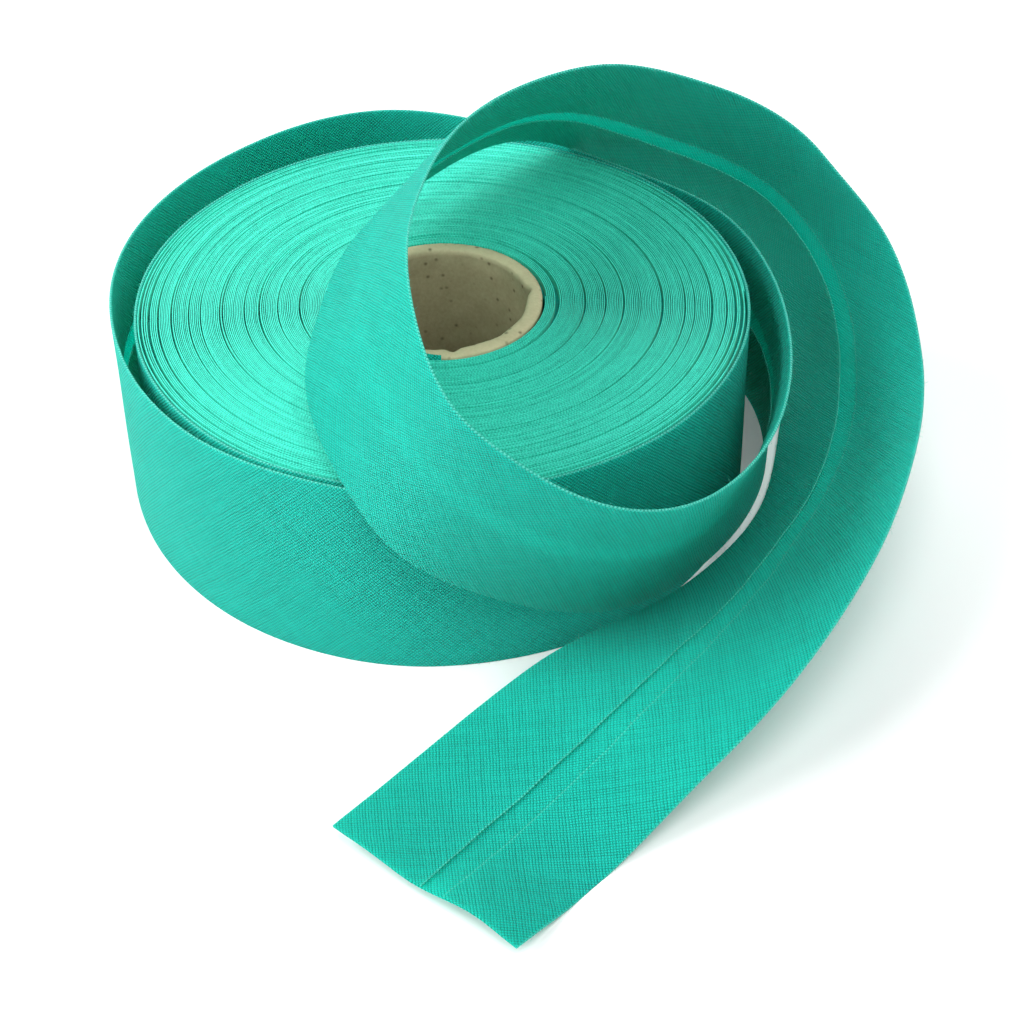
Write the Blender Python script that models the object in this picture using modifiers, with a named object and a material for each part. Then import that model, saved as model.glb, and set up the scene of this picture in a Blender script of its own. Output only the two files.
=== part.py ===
"""Roll of bias binding on a cardboard core, with its loose end looped over the roll.

The tape is a single-fold bias binding: a strip of plain-woven cotton, cut on the
bias, with both raw edges turned in to the wrong side so that a narrow channel of
single cloth is left along its middle. It is wound wrong side inwards. The last
turn stands loose round the roll, climbs over the front of it, makes one raised
loop and ends flat on the table with the wrong side up.

Lengths below are in millimetres, and the model is built in metres, +Z up, with
the roll lying on its flat side.
"""

import math
from collections import namedtuple

import bmesh
import bpy
import numpy as np

MM = 0.001

# Where the roll's axis stands, from the middle of the whole object's footprint.
ROLL_AXIS = (-14.2, 28.4)
CLEARANCE = 0.3

# Folded tape
TAPE_WIDTH = 40.0
TAPE_THICKNESS = 1.0
CHANNEL_WIDTH = 4.4
CHANNEL_DEPTH = 0.5
CHANNEL_OFFSET = 1.2

# Wound roll
ROLL_RADIUS = 57.5
ROLL_CHAMFER = 0.4
ROLL_STEPS = 72

# Cardboard core
CORE_RADIUS = 19.0
CORE_WALL = 2.5
CORE_CHAMFER = 0.3
CORE_STEPS = 60

# Distance between two cross-sections of the loose end
SECTION_SPACING = 6.5

# Slack turns leave rings on the roll's top face: middle radius, width and depth.
Slack = namedtuple("Slack", "radius width depth")
SLACK_RINGS = (
    Slack(21.4, 0.8, 0.8),
    Slack(26.8, 0.5, 0.6),
    Slack(34.2, 0.5, 0.6),
    Slack(41.4, 0.6, 0.7),
    Slack(50.6, 0.5, 0.6),
    Slack(53.9, 0.4, 1.0),
    Slack(55.2, 0.4, 1.2),
    Slack(56.4, 0.4, 1.2),
)

# The loose end, one row for each cross-section that shapes it, along the tape from
# the roll to the cut end. The middle of the tape is placed from the roll's axis
# (across = X, along = Y) and the table (lift). Lean tips the tape's upper edge
# outwards from upright, and rake swings it forward along the tape, in degrees.
Section = namedtuple("Section", "across along lift lean rake")
LOOSE_TURN = (
    Section(-10.3, -57.9, 20.0, 0, 0),
    Section(-27.6, -51.9, 20.0, 0, 0),
    Section(-42.8, -41.3, 20.0, 1, 0),
    Section(-60.0, -11.0, 20.0, 1, 0),
    Section(-60.0, 25.0, 20.0, 1, 0),
    Section(-42.0, 54.6, 20.0, 0, 0),
    Section(-11.0, 70.4, 20.0, -1, 0),
    Section(15.4, 62.6, 19.7, -2, 0),
    Section(37.8, 46.4, 19.6, -2, 0),
    Section(56.0, 29.0, 20.2, -4, 0),
    Section(63.3, -4.5, 20.0, 2, 0),
    Section(52.9, -37.9, 21.3, 19, 2),
)
CLIMB = (
    Section(38.7, -58.3, 26.2, 28, 6),
    Section(16.0, -72.4, 38.2, 29, 5),
    Section(-4.7, -69.5, 52.7, 3, -2),
    Section(-14.1, -51.4, 63.6, -24, -15),
)
RAISED_LOOP = (
    Section(-12.8, -21.9, 65.2, -33, -21),
    Section(-6.3, 2.8, 63.6, -37, -15),
    Section(6.8, 23.3, 61.8, -40, -7),
    Section(26.2, 39.5, 58.3, -43, -6),
    Section(47.5, 45.8, 49.0, -36, -3),
    Section(68.3, 43.7, 34.9, -20, 4),
)
TAIL = (
    Section(80.1, 28.2, 22.0, 15, 11),
    Section(79.8, 3.8, 14.6, 41, 17),
    Section(74.1, -22.1, 13.4, 48, 16),
    Section(63.6, -45.0, 14.0, 57, 6),
    Section(47.8, -65.5, 12.9, 72, -5),
    Section(29.8, -80.8, 9.3, 91, -12),
    Section(10.7, -95.9, 2.2, 96, -4),
    Section(-6.2, -114.4, 3.0, 92, 2),
)
LOOSE_END = LOOSE_TURN + CLIMB + RAISED_LOOP + TAIL


def clear_scene():
    """Remove every object of the scene."""
    for old in list(bpy.data.objects):
        bpy.data.objects.remove(old, do_unlink=True)


def new_material(name, colour, roughness):
    """A Principled material of one colour."""
    material = bpy.data.materials.new(name)
    material.use_nodes = True
    shader = material.node_tree.nodes["Principled BSDF"]
    shader.inputs["Base Color"].default_value = (*colour, 1.0)
    shader.inputs["Roughness"].default_value = roughness
    shader.inputs["Metallic"].default_value = 0.0
    return material


def add_part(name, mesh, material, collection, axis):
    """Put a mesh in the collection as a part that stands on the roll's axis."""
    part = bpy.data.objects.new(name, mesh)
    part.data.materials.append(material)
    part.parent = axis
    collection.objects.link(part)
    return part


def turned_part(name, profile, steps, material, collection, axis):
    """A closed profile of (radius, height) points, turned round the roll's axis."""
    mesh = bpy.data.meshes.new(name)
    points = [(radius * MM, 0.0, height * MM) for radius, height in profile]
    edges = [(i, (i + 1) % len(points)) for i in range(len(points))]
    mesh.from_pydata(points, edges, [])
    part = add_part(name, mesh, material, collection, axis)
    screw = part.modifiers.new("Turn", "SCREW")
    screw.steps = steps
    screw.render_steps = steps
    screw.use_merge_vertices = True
    screw.merge_threshold = 0.00001
    screw.use_smooth_shade = False
    return part


def core_profile():
    """The cardboard tube's section, from its outer top edge down and round."""
    outer = CORE_RADIUS
    inner = CORE_RADIUS - CORE_WALL
    top = TAPE_WIDTH
    cut = CORE_CHAMFER
    return [
        (outer, top - cut),
        (outer, cut),
        (outer - cut, 0.0),
        (inner + cut, 0.0),
        (inner, cut),
        (inner, top - cut),
        (inner + cut, top),
        (outer - cut, top),
    ]


def roll_profile():
    """The wound cloth's section, with a groove in its top face for each slack ring."""
    inner = CORE_RADIUS + CLEARANCE
    top = TAPE_WIDTH
    cut = ROLL_CHAMFER
    profile = [
        (ROLL_RADIUS, top - cut),
        (ROLL_RADIUS, 0.0),
        (inner, 0.0),
        (inner, top),
    ]
    for ring in SLACK_RINGS:
        profile += [
            (ring.radius - ring.width / 2, top),
            (ring.radius, top - ring.depth),
            (ring.radius + ring.width / 2, top),
        ]
    profile.append((ROLL_RADIUS - cut, top))
    return profile


def natural_spline(knots, values, at):
    """Values and slopes of the natural cubic spline through a row of values at each knot."""
    steps = np.diff(knots)
    slopes = np.diff(values, axis=0) / steps[:, None]
    count = len(knots)
    system = np.eye(count)
    target = np.zeros_like(values)
    for i in range(1, count - 1):
        system[i, i - 1 : i + 2] = steps[i - 1], 2 * (steps[i - 1] + steps[i]), steps[i]
        target[i] = 6 * (slopes[i] - slopes[i - 1])
    bends = np.linalg.solve(system, target)
    span = np.clip(np.searchsorted(knots, at, side="right") - 1, 0, count - 2)
    step = steps[span][:, None]
    near = (knots[span + 1] - at)[:, None] / step
    far = 1 - near
    curve = near * values[span] + far * values[span + 1]
    curve += ((near**3 - near) * bends[span] + (far**3 - far) * bends[span + 1]) * step**2 / 6
    slope = slopes[span]
    slope = slope + ((3 * far**2 - 1) * bends[span + 1] - (3 * near**2 - 1) * bends[span]) * step / 6
    return curve, slope


def unit(vectors):
    """The vectors, each made one unit long."""
    return vectors / np.linalg.norm(vectors, axis=1)[:, None]


def tape_sections():
    """Each cross-section's middle, its direction towards the upper edge, and its outward face."""
    rows = np.array(LOOSE_END, float)
    reach = np.linalg.norm(np.diff(rows[:, :3], axis=0), axis=1)
    knots = np.concatenate([[0.0], np.cumsum(reach)])
    count = int(knots[-1] / SECTION_SPACING) + 1
    values, slopes = natural_spline(knots, rows, np.linspace(0.0, knots[-1], count))
    travel = unit(slopes[:, :3])
    upright = unit(np.array([0.0, 0.0, 1.0]) - travel * travel[:, 2:3])
    outward = np.cross(upright, travel)
    lean = np.radians(values[:, 3:4])
    rake = np.radians(values[:, 4:5])
    widthwise = np.cos(lean) * upright + np.sin(lean) * outward
    widthwise = np.cos(rake) * widthwise + np.sin(rake) * travel
    return values[:, :3], widthwise, unit(np.cross(widthwise, travel))


def tape_outline():
    """The folded tape's section as (width, depth) points: its channel is on the wrong side."""
    half = TAPE_WIDTH / 2
    face = TAPE_THICKNESS / 2
    low = CHANNEL_OFFSET - CHANNEL_WIDTH / 2
    high = CHANNEL_OFFSET + CHANNEL_WIDTH / 2
    floor = CHANNEL_DEPTH - face
    return [
        (-half, face),
        (half, face),
        (half, -face),
        (high, -face),
        (high, floor),
        (low, floor),
        (low, -face),
        (-half, -face),
    ]


def loose_end_mesh():
    """The tape's section carried along its route, and closed at both ends."""
    middles, widthwise, outward = tape_sections()
    shell = bmesh.new()
    rings = []
    for middle, across, out in zip(middles, widthwise, outward):
        ring = []
        for width, depth in tape_outline():
            point = middle + across * width + out * depth
            # The tape rests on the table and never goes below it.
            point[2] = max(point[2], 0.0)
            ring.append(shell.verts.new(point * MM))
        rings.append(ring)
    for ring, following in zip(rings, rings[1:]):
        for i in range(len(ring)):
            j = (i + 1) % len(ring)
            shell.faces.new((ring[i], ring[j], following[j], following[i]))
    shell.faces.new(rings[0])
    shell.faces.new(reversed(rings[-1]))
    bmesh.ops.recalc_face_normals(shell, faces=shell.faces)
    mesh = bpy.data.meshes.new("loose_end")
    shell.to_mesh(mesh)
    shell.free()
    mesh.shade_smooth()
    mesh.set_sharp_from_angle(angle=math.radians(40))
    return mesh


def main():
    """Build the core, the wound roll and the loose end."""
    clear_scene()
    collection = bpy.data.collections.new("roll_of_bias_binding")
    bpy.context.scene.collection.children.link(collection)
    axis = bpy.data.objects.new("roll_axis", None)
    axis.location = (ROLL_AXIS[0] * MM, ROLL_AXIS[1] * MM, 0.0)
    collection.objects.link(axis)

    cardboard = new_material("greyboard", (0.36, 0.29, 0.19), 0.9)
    wound_cloth = new_material("wound_binding", (0.03, 0.60, 0.45), 0.85)
    cloth = new_material("bias_binding", (0.02, 0.52, 0.38), 0.8)

    turned_part("core_tube", core_profile(), CORE_STEPS, cardboard, collection, axis)
    turned_part("wound_roll", roll_profile(), ROLL_STEPS, wound_cloth, collection, axis)
    add_part("loose_end", loose_end_mesh(), cloth, collection, axis)


main()
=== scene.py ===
"""Looks of a roll of bias binding on a greyboard core.

The tape is cotton poplin cut on the bias, both raw edges turned in to the wrong
side. Every size below is in millimetres, from the roll's axis and the table,
and MM turns it to metres.
"""

import logging
import math
from collections.abc import Callable
from dataclasses import dataclass, field
from enum import Enum
from functools import partial
from typing import NamedTuple

import bmesh
import bpy
import numpy as np
from mathutils import Matrix, Vector, noise

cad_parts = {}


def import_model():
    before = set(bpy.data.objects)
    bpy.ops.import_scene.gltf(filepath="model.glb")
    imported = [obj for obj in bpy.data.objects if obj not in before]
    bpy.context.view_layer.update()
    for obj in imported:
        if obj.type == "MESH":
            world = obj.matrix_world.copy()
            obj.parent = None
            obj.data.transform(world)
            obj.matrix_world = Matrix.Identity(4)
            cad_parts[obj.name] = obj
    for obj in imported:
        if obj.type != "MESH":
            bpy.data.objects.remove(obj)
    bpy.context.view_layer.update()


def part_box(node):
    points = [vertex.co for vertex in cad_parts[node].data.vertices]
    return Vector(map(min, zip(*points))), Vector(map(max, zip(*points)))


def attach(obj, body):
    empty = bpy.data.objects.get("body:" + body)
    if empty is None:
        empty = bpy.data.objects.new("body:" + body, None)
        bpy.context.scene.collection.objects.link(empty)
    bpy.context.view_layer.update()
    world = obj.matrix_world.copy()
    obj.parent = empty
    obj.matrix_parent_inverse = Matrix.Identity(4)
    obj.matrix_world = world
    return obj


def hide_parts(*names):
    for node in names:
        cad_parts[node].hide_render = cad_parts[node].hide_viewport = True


MM = 0.001
LOG = logging.getLogger("roll_of_bias_binding")
Adder = Callable[..., bpy.types.Node]


class Section(NamedTuple):
    """One shaping cross-section of the tape, as in the part's own table."""

    across: float
    along: float
    lift: float
    lean: float
    rake: float


class Channel(NamedTuple):
    """The strip of single cloth between the turned-in edges, at a place along the tape."""

    at: float
    middle: float
    width: float


class Slack(NamedTuple):
    """A looser place between two turns of the roll."""

    radius: float
    width: float


class Side(Enum):
    """The two flat sides of the roll."""

    TOP = 1
    UNDERSIDE = -1


def linear(code: str) -> tuple[float, float, float, float]:
    """Turn an sRGB hex colour to linear light.

    Args:
        code: Six hex digits.

    Returns:
        Red, green, blue and an alpha of one.
    """
    levels = [int(code[i : i + 2], 16) / 255 for i in (0, 2, 4)]
    light = [v / 12.92 if v <= 0.04045 else ((v + 0.055) / 1.055) ** 2.4 for v in levels]
    return light[0], light[1], light[2], 1.0


def polar(radius: float, bearing: float, lift: float) -> tuple[float, float, float]:
    """Give the point at a distance and a bearing, in degrees, from the upright axis."""
    turn = math.radians(bearing)
    return radius * math.cos(turn), radius * math.sin(turn), lift


def place_in_scene(name: str, data: bpy.types.ID) -> bpy.types.Object:
    """Make an object of some data and link it to the scene."""
    thing = bpy.data.objects.new(name, data)
    bpy.context.scene.collection.objects.link(thing)
    return thing


def add_node(
    tree: bpy.types.NodeTree,
    kind: str,
    inputs: dict[str | int, object] | None = None,
    **settings: object,
) -> bpy.types.Node:
    """Add a node with its settings and links.

    Args:
        tree: The node tree to add to.
        kind: Blender's name for the node's type.
        inputs: For each input's name or number, a value, the socket that feeds it or
            the node whose first socket feeds it.
        **settings: The node's own settings.

    Returns:
        The new node.
    """
    node = tree.nodes.new(kind)
    for name, value in settings.items():
        setattr(node, name, value)
    for key, value in (inputs or {}).items():
        if isinstance(value, bpy.types.Node):
            value = value.outputs[0]
        if isinstance(value, bpy.types.NodeSocket):
            tree.links.new(value, node.inputs[key])
        else:
            node.inputs[key].default_value = value
    return node


def new_finish(name: str) -> tuple[bpy.types.Material, Adder]:
    """Start an empty material and give it with what adds nodes to it."""
    material = bpy.data.materials.new(name)
    material.use_nodes = True
    material.node_tree.nodes.clear()
    return material, partial(add_node, material.node_tree)


def natural_spline(
    knots: np.ndarray, values: np.ndarray, at: np.ndarray
) -> tuple[np.ndarray, np.ndarray]:
    """Follow the natural cubic spline through rows of values.

    Args:
        knots: The place of each row.
        values: One row of values for each knot.
        at: The places to read.

    Returns:
        The values and their slopes at those places.
    """
    steps = np.diff(knots)
    slopes = np.diff(values, axis=0) / steps[:, None]
    count = len(knots)
    system = np.eye(count)
    target = np.zeros_like(values)
    for i in range(1, count - 1):
        system[i, i - 1 : i + 2] = steps[i - 1], 2 * (steps[i - 1] + steps[i]), steps[i]
        target[i] = 6 * (slopes[i] - slopes[i - 1])
    bends = np.linalg.solve(system, target)
    span = np.clip(np.searchsorted(knots, at, side="right") - 1, 0, count - 2)
    step = steps[span][:, None]
    near = (knots[span + 1] - at)[:, None] / step
    far = 1 - near
    curve = near * values[span] + far * values[span + 1]
    curve += ((near**3 - near) * bends[span] + (far**3 - far) * bends[span + 1]) * step**2 / 6
    slope = slopes[span] + (
        (3 * far**2 - 1) * bends[span + 1] - (3 * near**2 - 1) * bends[span]
    ) * step / 6
    return curve, slope


def unit(vectors: np.ndarray) -> np.ndarray:
    """Make each vector one unit long."""
    return vectors / np.linalg.norm(vectors, axis=-1, keepdims=True)


def ripple(x: float, y: float, seed: float) -> float:
    """Smooth unevenness between about -1 and 1 at a place."""
    return noise.noise(Vector((x, y, seed)))


def new_piece(
    name: str,
    points: np.ndarray,
    faces: list[tuple[int, ...]],
    axis: Vector,
    material: bpy.types.Material,
) -> bpy.types.Object:
    """Make a mesh piece that stands in its place with its object at the origin.

    Args:
        name: The piece's name.
        points: Its points in millimetres from the roll's axis.
        faces: The points of each face.
        axis: Where the roll's axis meets the table, in metres.
        material: Its finish.

    Returns:
        The new object, smooth all over.
    """
    mesh = bpy.data.meshes.new(name)
    mesh.from_pydata((points * MM + np.array(axis)).tolist(), [], faces)
    mesh.materials.append(material)
    mesh.shade_smooth()
    return place_in_scene(name, mesh)


def face_outwards(piece: bpy.types.Object, sharp: float) -> None:
    """Point a closed piece's faces outwards and mark its sharp edges.

    Args:
        piece: The mesh piece.
        sharp: The angle, in degrees, from which an edge shows as a crease.
    """
    shell = bmesh.new()
    shell.from_mesh(piece.data)
    bmesh.ops.recalc_face_normals(shell, faces=shell.faces)
    shell.to_mesh(piece.data)
    shell.free()
    piece.data.set_sharp_from_angle(angle=math.radians(sharp))


def map_cloth(piece: bpy.types.Object, flat: np.ndarray) -> None:
    """Store the map of the flat cloth, in metres, as a piece's UV map.

    Args:
        piece: The cloth piece.
        flat: Each point's place on the flat cloth, in millimetres.
    """
    corners = np.zeros(len(piece.data.loops), np.int32)
    piece.data.loops.foreach_get("vertex_index", corners)
    layer = piece.data.uv_layers.new(name="cloth")
    layer.data.foreach_set("uv", (flat * MM)[corners].astype(np.float32).reshape(-1))


def grid_faces(
    rows: int, columns: int, start: int, closed: bool, flip: bool
) -> list[tuple[int, ...]]:
    """List the quads of a grid of points.

    Args:
        rows: How many rows of points.
        columns: How many points in a row.
        start: The number of the first point.
        closed: Whether each row joins up into a ring.
        flip: Whether the quads turn the other way.

    Returns:
        The faces.
    """
    faces = []
    for i in range(rows - 1):
        for j in range(columns if closed else columns - 1):
            k = (j + 1) % columns
            corners = (
                start + i * columns + j,
                start + i * columns + k,
                start + (i + 1) * columns + k,
                start + (i + 1) * columns + j,
            )
            faces.append(corners[::-1] if flip else corners)
    return faces


def ring_faces(columns: list[list[tuple[float, float, float]]]) -> list[tuple[int, ...]]:
    """List the quads of columns of points that close on themselves both ways, as on a ring."""
    count, high = len(columns), len(columns[0])
    faces = grid_faces(count, high, 0, True, False)
    last = (count - 1) * high
    faces += [(last + j, last + (j + 1) % high, (j + 1) % high, j) for j in range(high)]
    return faces


def evaluated(
    maker: bpy.types.Object,
    tree: bpy.types.NodeTree,
    material: bpy.types.Material,
    name: str,
) -> bpy.types.Object:
    """Run a geometry tree on an object and keep its result as a plain mesh piece.

    Args:
        maker: The object that the tree starts from, which is removed.
        tree: The geometry tree, which has an input named Material.
        material: The result's material.
        name: The result's name.

    Returns:
        The new piece, with its object at the origin.
    """
    modifier = maker.modifiers.new("Nodes", "NODES")
    modifier.node_group = tree
    modifier[tree.interface.items_tree["Material"].identifier] = material
    shown = maker.evaluated_get(bpy.context.evaluated_depsgraph_get())
    mesh = bpy.data.meshes.new_from_object(shown)
    mesh.name = name
    maker.modifiers.remove(modifier)
    bpy.data.objects.remove(maker, do_unlink=True)
    return place_in_scene(name, mesh)


def start_tree(
    name: str, sizes: dict[str, float | int], on_mesh: bool = False
) -> tuple[bpy.types.NodeTree, Adder, bpy.types.bpy_prop_collection]:
    """Start a geometry tree with its named inputs.

    Args:
        name: The tree's name.
        sizes: Each input's name and value. A whole number makes a whole-number input.
        on_mesh: Whether the tree starts from the mesh that it runs on.

    Returns:
        The tree, what adds nodes to it and the sockets of its inputs.
    """
    tree = bpy.data.node_groups.new(name, "GeometryNodeTree")
    if on_mesh:
        tree.interface.new_socket("Geometry", in_out="INPUT", socket_type="NodeSocketGeometry")
    for label, value in sizes.items():
        kind = "NodeSocketInt" if isinstance(value, int) else "NodeSocketFloat"
        socket = tree.interface.new_socket(label, in_out="INPUT", socket_type=kind)
        socket.default_value = value
    tree.interface.new_socket("Material", in_out="INPUT", socket_type="NodeSocketMaterial")
    tree.interface.new_socket("Geometry", in_out="OUTPUT", socket_type="NodeSocketGeometry")
    node = partial(add_node, tree)
    return tree, node, node("NodeGroupInput").outputs


def end_tree(node: Adder, shape: bpy.types.Node, material: bpy.types.NodeSocket) -> None:
    """End a geometry tree in plain geometry that wears its material."""
    shape = node("GeometryNodeRealizeInstances", {"Geometry": shape})
    dressed = node("GeometryNodeSetMaterial", {"Geometry": shape, "Material": material})
    node("NodeGroupOutput", {"Geometry": dressed})


def add_cotton(
    node: Adder,
    colour: bpy.types.NodeSocket,
    bump: bpy.types.Node,
    roughness: float,
    down: float,
) -> bpy.types.Node:
    """Add the surface of dyed cotton: matt, with a pale down that catches the light.

    Args:
        node: What adds nodes to the finish.
        colour: The thread's colour.
        bump: The threads' relief.
        roughness: How matt the cloth is.
        down: How much fine down stands on it.

    Returns:
        The shader.
    """
    return node(
        "ShaderNodeBsdfPrincipled",
        {
            "Base Color": colour,
            "Roughness": roughness,
            "Specular IOR Level": 0.3,
            "Sheen Weight": down,
            "Sheen Roughness": 0.4,
            "Sheen Tint": linear("CFFFF2"),
            "Normal": bump,
        },
    )


@dataclass(frozen=True)
class Poplin:
    """Mercerised cotton poplin, woven plain and cut on the bias.

    The eye sees a fine lattice of thread crossings that runs straight along the
    tape, thicker threads here and there at 45 degrees, and light coming through
    where the cloth is single.
    """

    name: str = "poplin"
    thread_spacing: float = 0.52
    # colour_low and colour_high span the painted shade in the pits between the threads and the
    # painted highlight on their crowns, as well as the threads' own uneven tone.
    colour_high: str = "1AF2E1"
    colour_low: str = "006F60"
    colour_through: str = "00EEDC"
    # A painted highlight along the folds and the raw edges.
    colour_fold_highlight: str = "8CFBEE"
    through: float = 0.5
    relief: float = 0.22

    def make(self) -> bpy.types.Material:
        """Build the material, which reads the piece's own UV map in metres of cloth."""
        material, node = new_finish(self.name)
        cloth = node("ShaderNodeUVMap", uv_map="cloth")
        # The threads cross the tape at 45 degrees. Real poplin has one every 0.35 mm:
        # they are a half coarser here, because otherwise they would not show.
        threads = node(
            "ShaderNodeMapping",
            {
                "Vector": cloth,
                "Rotation": (0.0, 0.0, math.radians(45)),
                "Scale": (1 / (self.thread_spacing * MM),) * 3,
            },
        )
        wander = node(
            "ShaderNodeTexNoise", {"Vector": cloth, "Scale": 140.0, "Detail": 1.0}
        ).outputs["Color"]
        threads = node(
            "ShaderNodeVectorMath",
            {0: wander, 1: (0.9, 0.9, 0.0), 2: threads},
            operation="MULTIPLY_ADD",
        )
        counts = node("ShaderNodeSeparateXYZ", {0: threads})
        waves = [
            node(
                "ShaderNodeMath",
                {0: node("ShaderNodeMath", {0: count, 1: math.pi}, operation="MULTIPLY")},
                operation="SINE",
            )
            for count in counts.outputs[:2]
        ]
        crowns = [node("ShaderNodeMath", {0: wave}, operation="ABSOLUTE") for wave in waves]
        crossing = node("ShaderNodeMath", {0: waves[0], 1: waves[1]}, operation="MULTIPLY")
        warp_over = node(
            "ShaderNodeMapRange",
            {"Value": crossing, "From Min": -0.12, "From Max": 0.12},
            interpolation_type="SMOOTHSTEP",
        )
        heights = []
        for own, other in (crowns, crowns[::-1]):
            bow = node("ShaderNodeMath", {0: other, 1: 0.5, 2: 0.5}, operation="MULTIPLY_ADD")
            heights.append(node("ShaderNodeMath", {0: own, 1: bow}, operation="MULTIPLY"))
        weave = node("ShaderNodeMix", {"Factor": warp_over, 2: heights[1], 3: heights[0]})
        # Slubs: each thread keeps its own thickness for a centimetre or two.
        slubs = []
        for stretch in ((1.0, 0.03, 1.0), (0.03, 1.0, 1.0)):
            streaks = node("ShaderNodeVectorMath", {0: threads, 1: stretch}, operation="MULTIPLY")
            slubs.append(
                node(
                    "ShaderNodeTexNoise",
                    {"Vector": streaks, "Scale": 0.9, "Detail": 1.5, "Roughness": 0.6},
                )
            )
        slub = node("ShaderNodeMath", {0: slubs[0], 1: slubs[1]}, operation="ADD")
        slub = node(
            "ShaderNodeMapRange",
            {"Value": slub, "From Min": 0.7, "From Max": 1.35, "To Min": 0.0, "To Max": 1.0},
        )
        patches = node("ShaderNodeTexNoise", {"Vector": cloth, "Scale": 60.0, "Detail": 3.0})
        # Painted shade and highlight: the weave's height darkens the colour in the pits between the
        # threads and pales it on their crowns. The warp-over crossings are painted a little paler
        # than the weft-over ones, as the light falls on them. The slubs and patches are the threads'
        # own tone.
        tone = -0.34
        for part, share in ((weave, 1.75), (slub, 0.38), (patches, 0.16), (warp_over, 0.10)):
            tone = node("ShaderNodeMath", {0: part, 1: share, 2: tone}, operation="MULTIPLY_ADD")
        colour = node(
            "ShaderNodeMix",
            {"Factor": tone, 6: linear(self.colour_low), 7: linear(self.colour_high)},
            data_type="RGBA",
        ).outputs[2]
        # Painted highlight: along the folds and the raw edges, where threads stand proud and catch
        # the light, the weave's crowns are painted pale, as a fine bright line.
        fold = node("ShaderNodeAttribute", attribute_name="edge").outputs["Fac"]
        fold = node("ShaderNodeMath", {0: fold, 1: weave}, operation="MULTIPLY")
        colour = node(
            "ShaderNodeMix",
            {"Factor": fold, 6: colour, 7: linear(self.colour_fold_highlight)},
            data_type="RGBA",
        ).outputs[2]
        relief = node("ShaderNodeMath", {0: slub, 1: 0.5, 2: weave}, operation="MULTIPLY_ADD")
        bump = node(
            "ShaderNodeBump", {"Strength": 1.0, "Distance": self.relief * MM, "Height": relief}
        )
        shader = add_cotton(node, colour, bump, 0.62, 0.12)
        behind = node("ShaderNodeBsdfTranslucent", {0: linear(self.colour_through), 1: bump})
        mixed = node("ShaderNodeMixShader", {0: self.through, 1: shader, 2: behind})
        node("ShaderNodeOutputMaterial", {0: mixed})
        return material


@dataclass(frozen=True)
class WoundEdges:
    """The folded edges of many turns of poplin, packed side by side.

    The eye sees fine rings broken into short slanting stitches of thread. They are
    brighter than the flat cloth because folded threads catch the light, and the
    material paints that as a highlight: its colours are paler than the flat cloth's.
    """

    name: str = "wound_poplin"
    # Threads 0.35 mm apart cross a fold at 45 degrees every 0.5 mm, and a little more here.
    thread_pitch: float = 0.57
    worn_length: float = 3.0
    # Painted highlight: both colours are paler than the flat poplin's, for the light that the folded
    # threads catch.
    colour_high: str = "46EDD4"
    colour_low: str = "02937C"

    def make(self) -> bpy.types.Material:
        """Build the material, which reads the length of tape stored on the mesh."""
        material, node = new_finish(self.name)
        run = node("ShaderNodeAttribute", attribute_name="run").outputs["Fac"]
        turn = node("ShaderNodeAttribute", attribute_name="turn").outputs["Fac"]
        place = node("ShaderNodeTexCoord").outputs["Object"]
        stitches = node(
            "ShaderNodeMath",
            {0: run, 1: 2 * math.pi / (self.thread_pitch * MM)},
            operation="MULTIPLY",
        )
        stitches = node("ShaderNodeMath", {0: stitches}, operation="SINE")
        lengthwise = node(
            "ShaderNodeMath", {0: run, 1: 1 / (self.worn_length * MM)}, operation="MULTIPLY"
        )
        cell = node("ShaderNodeCombineXYZ", {0: lengthwise, 1: turn})
        worn = node("ShaderNodeTexNoise", {"Vector": cell, "Scale": 1.0, "Detail": 2.0})
        bands = node("ShaderNodeMath", {0: turn, 1: 0.45}, operation="MULTIPLY")
        bands = node(
            "ShaderNodeTexNoise", {"W": bands, "Scale": 1.0, "Detail": 2.0}, noise_dimensions="1D"
        )
        fuzz = node("ShaderNodeTexNoise", {"Vector": place, "Scale": 2600.0, "Detail": 1.0})
        tone = -0.18
        for part, share in ((stitches, 0.16), (worn, 0.6), (bands, 0.5), (fuzz, 0.7)):
            tone = node("ShaderNodeMath", {0: part, 1: share, 2: tone}, operation="MULTIPLY_ADD")
        colour = node(
            "ShaderNodeMix",
            {"Factor": tone, 6: linear(self.colour_low), 7: linear(self.colour_high)},
            data_type="RGBA",
        ).outputs[2]
        height = node("ShaderNodeMath", {0: stitches, 1: 0.5, 2: fuzz}, operation="MULTIPLY_ADD")
        bump = node("ShaderNodeBump", {"Strength": 0.8, "Distance": 0.08 * MM, "Height": height})
        shader = add_cotton(node, colour, bump, 0.7, 0.15)
        node("ShaderNodeOutputMaterial", {0: shader})
        return material


@dataclass(frozen=True)
class CottonThread:
    """Single cotton fibres that stand off the cloth: fine, pale and a little shiny."""

    name: str = "cotton_thread"
    colour_high: str = "7CF3E0"
    colour_low: str = "12B79C"

    def make(self) -> bpy.types.Material:
        """Build the material on object coordinates, so that each fibre has its own tone."""
        material, node = new_finish(self.name)
        place = node("ShaderNodeTexCoord").outputs["Object"]
        tone = node("ShaderNodeTexNoise", {"Vector": place, "Scale": 900.0, "Detail": 1.0})
        colour = node(
            "ShaderNodeMix",
            {"Factor": tone, 6: linear(self.colour_low), 7: linear(self.colour_high)},
            data_type="RGBA",
        ).outputs[2]
        shader = node("ShaderNodeBsdfPrincipled", {"Base Color": colour, "Roughness": 0.5})
        node("ShaderNodeOutputMaterial", {0: shader})
        return material


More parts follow.
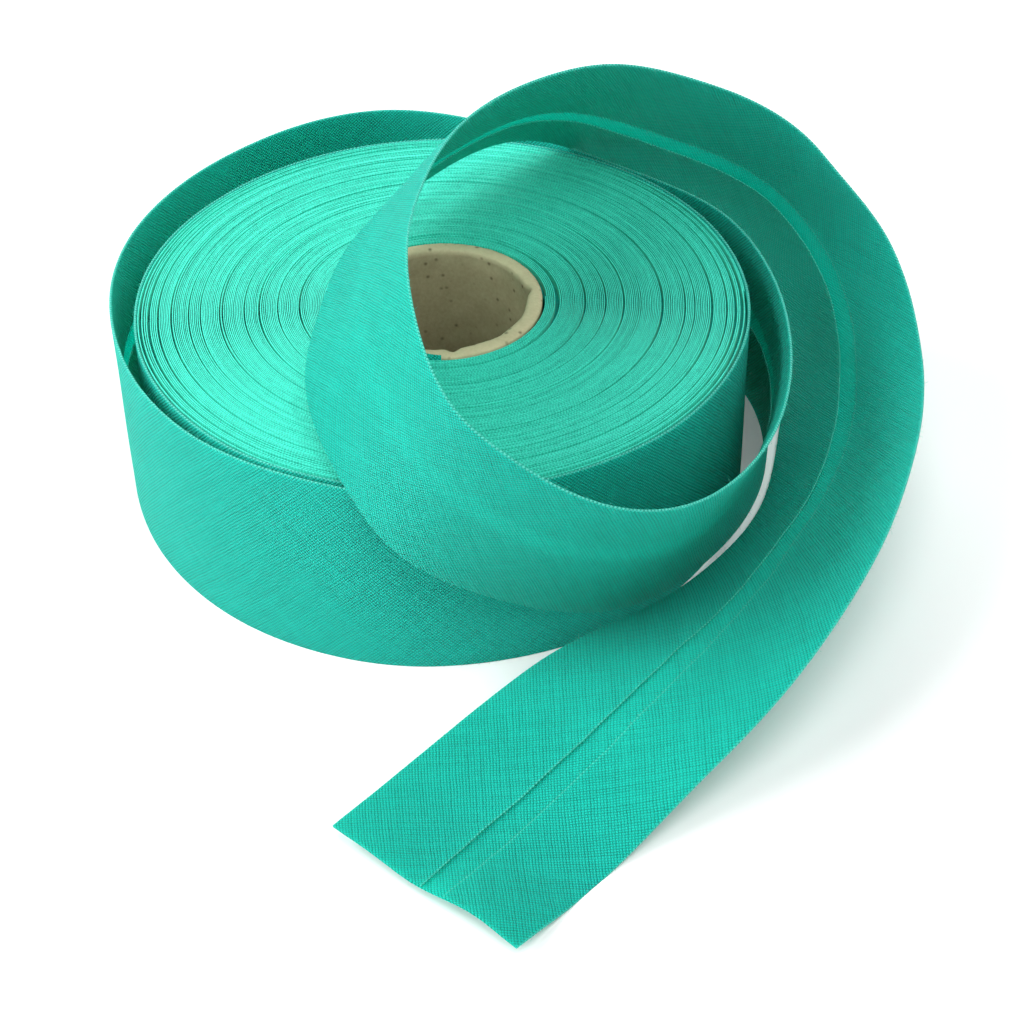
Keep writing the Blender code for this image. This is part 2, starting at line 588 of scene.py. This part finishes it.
@dataclass(frozen=True)
class Greyboard:
    """Spirally wound greyboard, made of waste paper.

    The eye sees a dull brown-grey with specks and short fibres, paler on the cut
    rim, where the plies show.
    """

    name: str = "greyboard"
    wall: str = "8F8868"
    pale: str = "C9C19C"
    speck: str = "4F4833"

    def make(self) -> bpy.types.Material:
        """Build the material on object coordinates, with a paler rim where stored."""
        material, node = new_finish(self.name)
        place = node("ShaderNodeTexCoord").outputs["Object"]
        rim = node("ShaderNodeAttribute", attribute_name="rim").outputs["Fac"]
        mottle = node("ShaderNodeTexNoise", {"Vector": place, "Scale": 260.0, "Detail": 4.0})
        pulp = node("ShaderNodeTexNoise", {"Vector": place, "Scale": 1500.0, "Detail": 2.0})
        specks = node("ShaderNodeTexVoronoi", {"Vector": place, "Scale": 420.0, "Randomness": 1.0})
        specks = node(
            "ShaderNodeMapRange",
            {"Value": specks, "From Min": 0.05, "From Max": 0.22, "To Min": 0.75, "To Max": 0.0},
        )
        tone = -0.2
        for part, share in ((mottle, 0.5), (pulp, 0.35), (rim, 0.62)):
            tone = node("ShaderNodeMath", {0: part, 1: share, 2: tone}, operation="MULTIPLY_ADD")
        colour = node(
            "ShaderNodeMix",
            {"Factor": tone, 6: linear(self.wall), 7: linear(self.pale)},
            data_type="RGBA",
        ).outputs[2]
        colour = node(
            "ShaderNodeMix", {"Factor": specks, 6: colour, 7: linear(self.speck)}, data_type="RGBA"
        ).outputs[2]
        bump = node("ShaderNodeBump", {"Strength": 0.6, "Distance": 0.12 * MM, "Height": pulp})
        shader = node(
            "ShaderNodeBsdfPrincipled",
            {"Base Color": colour, "Roughness": 0.9, "Specular IOR Level": 0.2, "Normal": bump},
        )
        node("ShaderNodeOutputMaterial", {0: shader})
        return material


@dataclass(frozen=True)
class LightTable:
    """White matt acrylic of a photographer's light table, lit a little from below."""

    name: str = "opal_acrylic"
    colour: str = "F6F6F6"
    glow: str = "F4FFFD"
    lit_from_below: float = 0.05

    def make(self) -> bpy.types.Material:
        """Build the material."""
        material, node = new_finish(self.name)
        shader = node(
            "ShaderNodeBsdfPrincipled",
            {
                "Base Color": linear(self.colour),
                "Roughness": 0.9,
                "Specular IOR Level": 0.1,
                "Emission Color": linear(self.glow),
                "Emission Strength": self.lit_from_below,
            },
        )
        node("ShaderNodeOutputMaterial", {0: shader})
        return material


@dataclass
class LooseTape:
    """The outermost turn, the loose turn, the raised loop and the tail, as one tape."""

    axis: Vector
    width: float = 40.0
    cloth: float = 0.20
    layer_gap: float = 0.14
    wound_radius: float = 57.72
    spacing: float = 1.6
    wave: float = 0.12
    least_lift: float = 0.16
    more_lift: float = 0.25
    rows: tuple[Section, ...] = (
        Section(-10.3, -57.7, 20.0, 0, 0),
        Section(-27.6, -51.9, 20.0, 0, 0),
        Section(-42.8, -41.3, 20.0, 1, 0),
        Section(-60.0, -11.0, 20.0, 1, 0),
        Section(-60.0, 25.0, 20.0, 1, 0),
        Section(-42.0, 54.6, 20.0, 0, 0),
        Section(-11.0, 70.4, 20.0, -1, 0),
        Section(15.4, 62.6, 19.7, -2, 0),
        Section(37.8, 46.4, 19.6, -2, 0),
        Section(56.0, 29.0, 20.2, -4, 0),
        Section(63.3, -4.5, 20.0, 2, 0),
        Section(52.9, -37.9, 21.3, 19, 2),
        Section(38.7, -58.3, 26.2, 28, 6),
        Section(16.0, -72.4, 38.2, 29, 5),
        Section(-4.7, -69.5, 52.7, 3, -2),
        Section(-14.1, -51.4, 63.6, -24, -15),
        Section(-12.8, -21.9, 65.2, -33, -21),
        Section(-6.3, 2.8, 63.6, -37, -15),
        Section(6.8, 23.3, 61.8, -40, -7),
        Section(26.2, 39.5, 58.3, -43, -6),
        Section(47.5, 45.6, 47.6, -33, -3),
        Section(68.3, 43.7, 34.9, -20, 4),
        Section(80.1, 28.2, 22.0, 15, 11),
        Section(79.8, 3.8, 14.6, 41, 17),
        Section(74.1, -22.1, 13.4, 48, 16),
        Section(63.6, -45.0, 14.0, 57, 6),
        Section(47.8, -65.5, 12.9, 72, -5),
        Section(29.8, -80.8, 9.3, 91, -12),
        Section(10.7, -95.9, 2.2, 96, -4),
        Section(-6.2, -114.4, 3.0, 92, 2),
    )
    # Measured back from the cut end, because the wound part's length may change.
    channels: tuple[Channel, ...] = (
        Channel(-1200.0, 1.8, 4.6),
        Channel(-460.0, 1.8, 4.6),
        Channel(-415.0, 3.4, 4.6),
        Channel(-370.0, 3.6, 4.6),
        Channel(-325.0, 0.0, 4.6),
        Channel(-279.0, -6.0, 4.4),
        Channel(-250.0, -6.2, 4.4),
        Channel(-225.0, -4.2, 4.6),
        Channel(-200.0, -1.6, 4.8),
        Channel(-165.0, -0.6, 5.0),
        Channel(-145.0, -0.2, 5.0),
        Channel(-125.0, -2.4, 4.8),
        Channel(-105.0, -4.2, 4.6),
        Channel(-85.0, -3.2, 4.4),
        Channel(-63.0, -1.0, 4.4),
        Channel(-42.0, 1.2, 4.4),
        Channel(-20.0, 1.4, 4.6),
        Channel(0.0, 1.8, 4.8),
    )
    length: float = field(default=0.0, init=False)

    def route(self) -> tuple[np.ndarray, ...]:
        """Work out the tape's cross-sections.

        Returns:
            Each section's place along the tape, its middle, the direction towards
            its upper edge and the direction that the right side faces.
        """
        turn = [
            Section(*polar(self.wound_radius, bearing, self.width / 2), 0, 0)
            for bearing in range(262, -88, -26)
        ]
        rows = np.array(turn + list(self.rows), float)
        reach = np.linalg.norm(np.diff(rows[:, :3], axis=0), axis=1)
        knots = np.concatenate([[0.0], np.cumsum(reach)])
        self.length = float(knots[-1])
        count = int(self.length / self.spacing) + 1
        places = np.linspace(0.0, self.length, count)
        values, slopes = natural_spline(knots, rows, places)
        travel = unit(slopes[:, :3])
        upright = unit(np.array([0.0, 0.0, 1.0]) - travel * travel[:, 2:3])
        outward = np.cross(upright, travel)
        lean = np.radians(values[:, 3:4])
        rake = np.radians(values[:, 4:5])
        widthwise = np.cos(lean) * upright + np.sin(lean) * outward
        widthwise = np.cos(rake) * widthwise + np.sin(rake) * travel
        return places, values[:, :3], widthwise, unit(np.cross(widthwise, travel))

    def profile(self, middle: float, width: float, lift: float) -> np.ndarray:
        """Fold the cloth's section at one place.

        Args:
            middle: The channel's middle, across the tape.
            width: The channel's width.
            lift: How far the turned-in edges stand off the tape.

        Returns:
            A row for each point from one raw edge to the other: its place across the
            tape, its depth outwards, its place on the flat cloth and how much it is
            part of an edge.
        """
        half = self.width / 2
        layer = (self.cloth + self.layer_gap) / 2
        shares = np.insert(np.linspace(0.0, 1.0, 9), 1, 0.018)[:-1]
        edges = []
        for raw, side in ((middle - width / 2, -1), (middle + width / 2, 1)):
            reach = half - layer - side * raw
            edge = [
                (
                    raw + side * reach * share,
                    -layer - lift * (1 - share) ** 6,
                    side * (half + math.pi * layer + reach * (1 - share)),
                    0.75 if share == 0.0 else 0.0,
                )
                for share in shares
            ]
            for turn in np.linspace(0.0, math.pi, 5)[:-1]:
                edge.append(
                    (
                        side * (half - layer + layer * math.sin(turn)),
                        -layer * math.cos(turn),
                        side * (half + layer * (math.pi - turn)),
                        math.sin(turn),
                    )
                )
            edges.append(edge)
        face = [
            ((half - layer) * share, layer, half * share, 0.0)
            for share in np.linspace(-1.0, 1.0, 17)
        ]
        return np.array(edges[0] + face + edges[1][::-1])

    def build(self, finish: Poplin) -> bpy.types.Object:
        """Build the folded tape as one closed sheet of cloth.

        Args:
            finish: The cloth's finish.

        Returns:
            The tape.
        """
        places, middles, widthwise, outward = self.route()
        columns = np.array(self.channels)
        middle = np.interp(places - self.length, columns[:, 0], columns[:, 1])
        width = np.interp(places - self.length, columns[:, 0], columns[:, 2])
        outer_rows, inner_rows, cloth_rows = [], [], []
        for i, place in enumerate(places):
            uneven = ripple(place * 0.05, 3.1, 0.0)
            lift = self.least_lift + self.more_lift * max(0.0, ripple(place * 0.03, 7.7, 0.0))
            section = self.profile(
                middle[i] + 0.35 * uneven, width[i] + 0.5 * ripple(place * 0.12, 1.0, 5.0), lift
            )
            normal = self.section_normals(section)
            wave = np.array([self.wave * ripple(place * 0.045, w * 0.06, 2.0) for w in section[:, 0]])
            wave -= self.curl(section[:, 0], self.length - place)
            edge = 1 + 0.004 * ripple(place * 0.06, 9.0, 1.0)
            for rows, side in ((outer_rows, 0.5), (inner_rows, -0.5)):
                across = section[:, 0] * edge + normal[:, 0] * self.cloth * side
                depth = section[:, 1] + normal[:, 1] * self.cloth * side + wave
                rows.append(
                    middles[i]
                    + widthwise[i] * across[:, None]
                    + outward[i] * depth[:, None]
                )
            cloth_rows.append(section[:, 2:])
        outer, inner = np.array(outer_rows), np.array(inner_rows)
        for side in (outer, inner):
            side[..., 2] = np.maximum(side[..., 2], 0.03)
        return self.sheet(outer, inner, np.array(cloth_rows), places, finish)

    @staticmethod
    def curl(across: np.ndarray, from_end: float) -> np.ndarray:
        """Lift the cut end in two soft waves, as freshly cut cloth does.

        Args:
            across: Each point's place across the tape.
            from_end: How far the section is from the cut end.

        Returns:
            How far each point rises off the table.
        """
        fade = math.exp(-((from_end / 11.0) ** 2))
        raised = 1.3 * np.exp(-(((across - 11.0) / 7.0) ** 2))
        raised -= 0.7 * np.exp(-(((across + 3.0) / 6.0) ** 2))
        return fade * (raised + 0.5)

    @staticmethod
    def section_normals(section: np.ndarray) -> np.ndarray:
        """Find the direction square to the cloth at each point of its folded section."""
        step = np.gradient(section[:, :2], axis=0)
        step = unit(step)
        return np.stack([-step[:, 1], step[:, 0]], axis=1)

    def sheet(
        self,
        outer: np.ndarray,
        inner: np.ndarray,
        flat: np.ndarray,
        places: np.ndarray,
        finish: Poplin,
    ) -> bpy.types.Object:
        """Close two faces of cloth into one sheet with a map of the flat cloth.

        Args:
            outer: One face's points, by section.
            inner: The other face's points.
            flat: Each point's place across the flat cloth and its share of an edge.
            places: Each section's place along the tape.
            finish: The cloth's finish.

        Returns:
            The piece.
        """
        rows, columns = outer.shape[:2]
        count = rows * columns
        points = np.concatenate([outer.reshape(-1, 3), inner.reshape(-1, 3)])
        faces = grid_faces(rows, columns, 0, False, False)
        faces += grid_faces(rows, columns, count, False, True)
        for i in range(rows - 1):
            a, b = i * columns, (i + 1) * columns
            faces.append((a, b, b + count, a + count))
            a, b = a + columns - 1, b + columns - 1
            faces.append((b, a, a + count, b + count))
        for j in range(columns - 1):
            faces.append((j + 1, j, j + count, j + 1 + count))
            k = count - columns + j
            faces.append((k, k + 1, k + 1 + count, k + count))
        piece = new_piece("loose_tape", points, faces, self.axis, finish.make())
        along = np.repeat(places, columns)
        across, edge = np.tile(flat.reshape(-1, 2), (2, 1)).T
        shares = piece.data.attributes.new("edge", "FLOAT", "POINT")
        shares.data.foreach_set("value", edge.astype(np.float32))
        map_cloth(piece, np.stack([across, np.tile(along, 2)], axis=1))
        face_outwards(piece, 60)
        return piece


@dataclass
class WoundRoll:
    """The wound tape: its body, and the turns that show on its two flat sides."""

    axis: Vector
    inner_radius: float = 19.55
    outer_radius: float = 57.2
    height: float = 40.0
    turns: int = 104
    steps: int = 150
    underside_steps: int = 90
    unevenness: float = 0.8
    fold_width: float = 0.172
    fold_height: float = 1.2
    fold_drop: float = 1.05
    slack: tuple[Slack, ...] = (
        Slack(21.4, 0.75),
        Slack(26.8, 0.30),
        Slack(30.8, 0.22),
        Slack(34.2, 0.32),
        Slack(37.2, 0.20),
        Slack(41.4, 0.40),
        Slack(45.6, 0.22),
        Slack(47.6, 0.20),
        Slack(50.6, 0.36),
        Slack(53.4, 0.30),
        Slack(55.0, 0.45),
        Slack(56.2, 0.55),
    )

    def body(self, finish: Poplin) -> bpy.types.Object:
        """Build the ring of cloth behind the turns' edges.

        Args:
            finish: The cloth's finish.

        Returns:
            The body.
        """
        inner, outer = self.inner_radius - 0.2, self.outer_radius + 0.1
        low, high = 1.6, self.height - 1.6
        profile = [(inner, low), (outer, low), (outer, high), (inner, high)]
        columns = [
            [polar(radius, bearing, lift) for radius, lift in profile]
            for bearing in range(0, 360, 2)
        ]
        points = np.array(columns).reshape(-1, 3)
        piece = new_piece("wound_body", points, ring_faces(columns), self.axis, finish.make())
        around = np.arctan2(points[:, 1], points[:, 0]) * outer
        map_cloth(piece, np.stack([points[:, 2], around], axis=1))
        face_outwards(piece, 40)
        return piece

    def tree(self, side: Side) -> bpy.types.NodeTree:
        """Build the tree that lays the turns' folded edges in one long spiral.

        Args:
            side: Which flat side of the roll.

        Returns:
            The geometry tree.
        """
        top = side is Side.TOP
        tree, node, given = start_tree(
            "turns_" + side.name.lower(),
            {
                "Turns": float(self.turns),
                "Inner radius": self.inner_radius * MM,
                "Outer radius": (self.outer_radius - sum(s.width for s in self.slack)) * MM,
                "Face height": self.height * MM if top else 0.0,
                "Unevenness": self.unevenness * MM,
                "Steps in a turn": self.steps if top else self.underside_steps,
            },
        )
        spiral = node(
            "GeometryNodeCurveSpiral",
            {
                "Resolution": given["Steps in a turn"],
                "Rotations": given["Turns"],
                "Start Radius": given["Inner radius"],
                "End Radius": given["Outer radius"],
                "Height": 0.0,
            },
        )
        place = node("GeometryNodeInputPosition")
        radius = node("ShaderNodeVectorMath", {0: place}, operation="LENGTH").outputs["Value"]
        bearing = node("ShaderNodeVectorMath", {0: place}, operation="NORMALIZE")
        # Each slack place pushes the turns outside it a little further out.
        grown = radius
        passed = 0.0
        for slack in self.slack:
            start = (slack.radius - passed) * MM
            grown = node(
                "ShaderNodeMath",
                {
                    0: grown,
                    1: node(
                        "ShaderNodeMapRange",
                        {
                            "Value": radius,
                            "From Min": start - 0.1 * MM,
                            "From Max": start + 0.1 * MM,
                            "To Min": 0.0,
                            "To Max": slack.width * MM,
                        },
                        interpolation_type="SMOOTHSTEP",
                    ),
                },
                operation="ADD",
            )
            passed += slack.width
        spread = node("ShaderNodeMath", {0: radius, 1: 1100.0}, operation="MULTIPLY")
        facing = node("ShaderNodeVectorMath", {0: bearing, "Scale": 0.8}, operation="SCALE")
        split = node("ShaderNodeSeparateXYZ", {0: facing}).outputs
        cell = node("ShaderNodeCombineXYZ", {0: spread, 1: split[0], 2: split[1]})
        sway = node("ShaderNodeTexNoise", {"Vector": cell, "Scale": 1.0, "Detail": 2.0})
        offset = node("ShaderNodeMath", {0: sway, 1: -0.5}, operation="ADD")
        lift = node("ShaderNodeMath", {0: offset, 1: given["Unevenness"]}, operation="MULTIPLY")
        drift = node("ShaderNodeTexNoise", {"Vector": cell, "Scale": 0.35, "Detail": 1.0})
        drift = node(
            "ShaderNodeMath", {0: drift, 1: 0.5 * MM, 2: -0.25 * MM}, operation="MULTIPLY_ADD"
        )
        grown = node("ShaderNodeMath", {0: grown, 1: drift}, operation="ADD")
        flat = node("ShaderNodeVectorMath", {0: bearing, "Scale": grown}, operation="SCALE")
        level = node(
            "ShaderNodeMath",
            {0: lift, 1: float(side.value), 2: given["Face height"]},
            operation="MULTIPLY_ADD",
        )
        risen = node("ShaderNodeCombineXYZ", {2: level})
        goal = node("ShaderNodeVectorMath", {0: flat, 1: risen}, operation="ADD")
        along = node("GeometryNodeSplineParameter").outputs
        turn = node("ShaderNodeMath", {0: along["Factor"], 1: given["Turns"]}, operation="MULTIPLY")
        for name, value in (("run", along["Length"]), ("turn", turn)):
            spiral = node(
                "GeometryNodeStoreNamedAttribute",
                {"Geometry": spiral, "Name": name, "Value": value},
                data_type="FLOAT",
                domain="POINT",
            )
        moved = node("GeometryNodeSetPosition", {"Geometry": spiral, "Position": goal})
        moved = node("GeometryNodeSetCurveNormal", {"Curve": moved}, mode="Z_UP")
        fold = node("GeometryNodeCurvePrimitiveCircle", {"Resolution": 6, "Radius": 1.0})
        fold = node(
            "GeometryNodeTransform",
            {
                "Geometry": fold,
                "Translation": (0.0, self.fold_drop * MM, 0.0),
                "Scale": (self.fold_width * MM, self.fold_height * MM, 1.0),
            },
        )
        turns = node(
            "GeometryNodeCurveToMesh", {"Curve": moved, "Profile Curve": fold, "Fill Caps": True}
        )
        turns = node("GeometryNodeSetShadeSmooth", {"Geometry": turns, "Shade Smooth": True})
        end_tree(node, turns, given["Material"])
        return tree

    def turns_of(self, side: Side, finish: bpy.types.Material) -> bpy.types.Object:
        """Lay the turns' edges on one flat side of the roll.

        Args:
            side: Which flat side.
            finish: The edges' material.

        Returns:
            The turns as a plain mesh.
        """
        name = "turns_" + side.name.lower()
        maker = place_in_scene(name + "_maker", bpy.data.meshes.new(name + "_seed"))
        piece = evaluated(maker, self.tree(side), finish, name)
        if side is Side.UNDERSIDE:
            piece.data.transform(Matrix.Scale(-1, 4, (0, 0, 1)))
        piece.data.transform(Matrix.Translation(self.axis))
        face_outwards(piece, 80)
        return piece


@dataclass
class InnerEnd:
    """The start of the tape, which stands up between the core and the first turn."""

    axis: Vector
    bearing: float = -96.0
    span: float = 9.0
    radius: float = 18.75
    thickness: float = 0.55
    low: float = 37.0
    high: float = 40.9
    steps: int = 12

    def build(self, finish: Poplin) -> bpy.types.Object:
        """Build the tab of folded cloth as a closed sheet.

        Args:
            finish: The cloth's finish.

        Returns:
            The tab.
        """
        half = self.thickness / 2
        points = []
        for i in range(self.steps + 1):
            share = i / self.steps
            bearing = self.bearing + self.span * (share - 0.5)
            top = self.high - 0.35 * share
            for radius, lift in (
                (self.radius - half, self.low),
                (self.radius + half, self.low),
                (self.radius + half, top - half),
                (self.radius, top),
                (self.radius - half, top - half),
            ):
                points.append(polar(radius, bearing, lift))
        faces = grid_faces(self.steps + 1, 5, 0, True, False)
        last = self.steps * 5
        faces += [tuple(range(5)), tuple(range(last, last + 5))]
        points = np.array(points)
        piece = new_piece("inner_end", points, faces, self.axis, finish.make())
        row, column = np.divmod(np.arange(len(points)), 5)
        map_cloth(piece, np.stack([points[:, 2], row * 0.25 + column * 0.4], axis=1))
        face_outwards(piece, 50)
        return piece


@dataclass
class StrayFibres:
    """Short cotton fibres that stand off the tape's folds and raw edges."""

    density: float = 2.2e6
    length: float = 0.75
    bend: float = 80.0
    thickness: float = 0.018
    seed: int = 7

    def tree(self) -> bpy.types.NodeTree:
        """Build the tree that scatters bent fibres along the tape's edges."""
        bend = math.radians(self.bend)
        tree, node, given = start_tree(
            "stray_fibres",
            {
                "Density": self.density,
                "Bend radius": self.length * MM / bend,
                "Fibre radius": self.thickness * MM,
                "Seed": self.seed,
            },
            on_mesh=True,
        )
        edge = node("GeometryNodeInputNamedAttribute", {"Name": "edge"}, data_type="FLOAT")
        chosen = node("ShaderNodeMath", {0: edge, 1: 0.3}, operation="GREATER_THAN")
        places = node(
            "GeometryNodeDistributePointsOnFaces",
            {
                "Mesh": given["Geometry"],
                "Selection": chosen,
                "Density": given["Density"],
                "Seed": given["Seed"],
            },
        )
        arc = node(
            "GeometryNodeCurveArc",
            {"Resolution": 4, "Radius": given["Bend radius"], "Sweep Angle": bend},
        )
        section = node(
            "GeometryNodeCurvePrimitiveCircle", {"Resolution": 3, "Radius": given["Fibre radius"]}
        )
        fibre = node(
            "GeometryNodeCurveToMesh", {"Curve": arc, "Profile Curve": section, "Fill Caps": True}
        )
        back = node("ShaderNodeMath", {0: given["Bend radius"], 1: -1.0}, operation="MULTIPLY")
        home = node("ShaderNodeCombineXYZ", {0: back})
        fibre = node("GeometryNodeTransform", {"Geometry": fibre, "Translation": home})
        turned = node(
            "FunctionNodeRandomValue",
            {0: (0.0, 0.0, 0.0), 1: (2 * math.pi,) * 3, "Seed": given["Seed"]},
            data_type="FLOAT_VECTOR",
        )
        sized = node(
            "FunctionNodeRandomValue", {2: 0.3, 3: 1.3, "Seed": given["Seed"]}, data_type="FLOAT"
        ).outputs[1]
        fibres = node(
            "GeometryNodeInstanceOnPoints",
            {"Points": places, "Instance": fibre, "Rotation": turned, "Scale": sized},
        )
        end_tree(node, fibres, given["Material"])
        return tree

    def build(self, tape: bpy.types.Object, finish: CottonThread) -> bpy.types.Object:
        """Scatter the fibres along the tape.

        Args:
            tape: The finished tape.
            finish: The fibres' finish.

        Returns:
            The fibres as a plain mesh.
        """
        maker = place_in_scene("fibre_maker", tape.data.copy())
        piece = evaluated(maker, self.tree(), finish.make(), "stray_fibres")
        # A fibre that points down ends where the table stops it.
        for point in piece.data.vertices:
            point.co.z = max(point.co.z, self.thickness * MM)
        return piece


@dataclass
class Core:
    """The greyboard tube, a little crushed and torn at its rim."""

    axis: Vector
    height: float = 40.0
    outer_radius: float = 19.0
    inner_radius: float = 16.2
    dent_bearing: float = 10.0
    notch_bearing: float = -84.0
    steps: int = 240

    def rim_shape(self, bearing: float) -> tuple[float, float, float]:
        """Give the tube's radii and the rim's height at a bearing.

        Args:
            bearing: In degrees.

        Returns:
            Outer radius, inner radius and how far the rim is worn down.
        """
        turn = math.radians(bearing)
        outer = self.outer_radius + 0.45 * math.cos(turn - math.radians(100))
        inner = self.inner_radius + 0.55 * math.cos(turn - math.radians(100))
        dent = math.exp(-(((bearing - self.dent_bearing + 180) % 360 - 180) / 5.0) ** 2)
        notch = math.exp(-(((bearing - self.notch_bearing + 180) % 360 - 180) / 4.0) ** 2)
        ragged = ripple(math.cos(turn) * 3, math.sin(turn) * 3, 4.0)
        inner += 0.9 * dent + 0.8 * notch + 0.25 * ragged
        return outer, inner, 0.25 * notch + 0.12 * max(0.0, ragged)

    def build(self, finish: Greyboard) -> bpy.types.Object:
        """Build the tube as a closed mesh with its worn rim.

        Args:
            finish: The board's finish.

        Returns:
            The core.
        """
        columns: list[list[tuple[float, float, float]]] = []
        rims: list[float] = []
        bore, side = self.inner_radius, self.outer_radius
        for i in range(self.steps):
            bearing = 360 * i / self.steps
            outer, inner, worn = self.rim_shape(bearing)
            column = [(side, 0.3, 0.0), (side, 20.0, 0.0), (outer, self.height - 1.2, 0.2)]
            for share in (0.0, 0.12, 0.3, 0.5, 0.7, 0.88, 1.0):
                radius = outer + (inner - outer) * share
                crown = 0.35 * (2 * share - 1) ** 4
                fine = 0.10 * ripple(radius * 2.2, bearing * 0.35, 8.0)
                column.append((radius, self.height - crown - worn + fine, 1.0))
            column += [(inner, self.height - 1.4, 0.35), (inner - 0.1, self.height - 4.0, 0.0)]
            column += [(bore, 20.0, 0.0), (bore, 0.3, 0.0)]
            column += [(bore + 0.4, 0.0, 0.6), (side - 0.4, 0.0, 0.6)]
            columns.append([polar(radius, bearing, lift) for radius, lift, _ in column])
            rims += [rim for _, _, rim in column]
        points = np.array(columns).reshape(-1, 3)
        piece = new_piece("core", points, ring_faces(columns), self.axis, finish.make())
        piece.data.attributes.new("rim", "FLOAT", "POINT").data.foreach_set("value", rims)
        face_outwards(piece, 70)
        return piece


class Softbox(NamedTuple):
    """A round soft light: its direction in degrees, its width and its power."""

    bearing: float
    height: float
    width: float
    watts: float


@dataclass
class Studio:
    """A light table, soft lights and a camera."""

    axis: Vector
    heading: float = -1.868
    pitch: float = 39.53
    roll: float = -0.59
    focal_length: float = 88.24
    stand: tuple[float, float, float] = (0.0, -391.07, 310.29)
    light_distance: float = 900.0
    softboxes: tuple[Softbox, ...] = (
        Softbox(184.0, 34.0, 900.0, 12.2),
        Softbox(90.0, 32.0, 700.0, 4.2),
        Softbox(300.0, 34.0, 700.0, 2.6),
        Softbox(275.0, 66.0, 500.0, 3.0),
        Softbox(0.0, 62.0, 600.0, 1.6),
    )
    sky: float = 0.13

    def floor(self, finish: LightTable) -> bpy.types.Object:
        """Lay the white sweep that the roll lies on."""
        mesh = bpy.data.meshes.new("floor")
        side = 3.0
        corners = [(-side, -side, 0.0), (side, -side, 0.0), (side, side, 0.0), (-side, side, 0.0)]
        mesh.from_pydata(corners, [], [(0, 1, 2, 3)])
        mesh.materials.append(finish.make())
        return place_in_scene("floor", mesh)

    def camera(self) -> None:
        """Set the camera up, looking down at the roll from the front."""
        lens = bpy.data.cameras.new("camera")
        lens.lens = self.focal_length
        lens.sensor_width = 36.0
        lens.clip_start = 0.01
        viewer = place_in_scene("camera", lens)
        turn = (
            Matrix.Rotation(math.radians(self.heading), 4, "Z")
            @ Matrix.Rotation(math.radians(90 - self.pitch), 4, "X")
            @ Matrix.Rotation(math.radians(self.roll), 4, "Z")
        )
        place = Matrix.Translation(self.axis + Vector(self.stand) * MM)
        viewer.matrix_world = place @ turn
        bpy.context.scene.camera = viewer

    def lights(self) -> None:
        """Light the table evenly all round, and more from the softboxes."""
        world = bpy.data.worlds.new("studio")
        world.use_nodes = True
        backdrop = world.node_tree.nodes["Background"]
        backdrop.inputs["Color"].default_value = linear("FFFFFF")
        backdrop.inputs["Strength"].default_value = self.sky
        bpy.context.scene.world = world
        for number, box in enumerate(self.softboxes, 1):
            height = math.radians(box.height)
            way = Vector(polar(math.cos(height), box.bearing, math.sin(height)))
            lamp = bpy.data.lights.new(f"softbox_{number}", "AREA")
            lamp.shape = "DISK"
            lamp.size = box.width * MM
            lamp.energy = box.watts
            light = place_in_scene(lamp.name, lamp)
            light.location = self.axis + way * self.light_distance * MM
            light.rotation_euler = way.to_track_quat("Z", "Y").to_euler()


def settle(piece: bpy.types.Object, slot: str, *nodes: str) -> None:
    """Hand a finished piece to the frame.

    Args:
        piece: The piece.
        slot: A material slot of the record; not used.
        *nodes: The CAD nodes that it stands for.
    """
    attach(piece, "root")
    if nodes:
        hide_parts(*nodes)
    LOG.info("%s: %d faces", piece.name, len(piece.data.polygons))


def main() -> None:
    """Build every piece, light it and hand it to the frame."""
    logging.basicConfig(level=logging.INFO, format="%(name)s: %(message)s")
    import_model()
    low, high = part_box("wound_roll")
    axis = Vector(((low.x + high.x) / 2, (low.y + high.y) / 2, 0.0))
    bpy.context.scene.view_settings.view_transform = "Standard"

    studio = Studio(axis)
    studio.camera()
    studio.lights()
    studio.floor(LightTable())

    core = Core(axis).build(Greyboard())
    settle(core, "greyboard", "core_tube")

    roll = WoundRoll(axis)
    body = roll.body(Poplin("wound_body_poplin"))
    settle(body, "wound_binding", "wound_roll")
    edges = WoundEdges().make()
    for side in Side:
        settle(roll.turns_of(side, edges), "wound_binding")

    settle(InnerEnd(axis).build(Poplin("inner_end_poplin")), "wound_binding")

    loose = LooseTape(axis)
    tape = loose.build(Poplin())
    settle(tape, "bias_binding", "loose_end")

    settle(StrayFibres().build(tape, CottonThread()), "bias_binding")


if __name__ == "__main__":
    main()
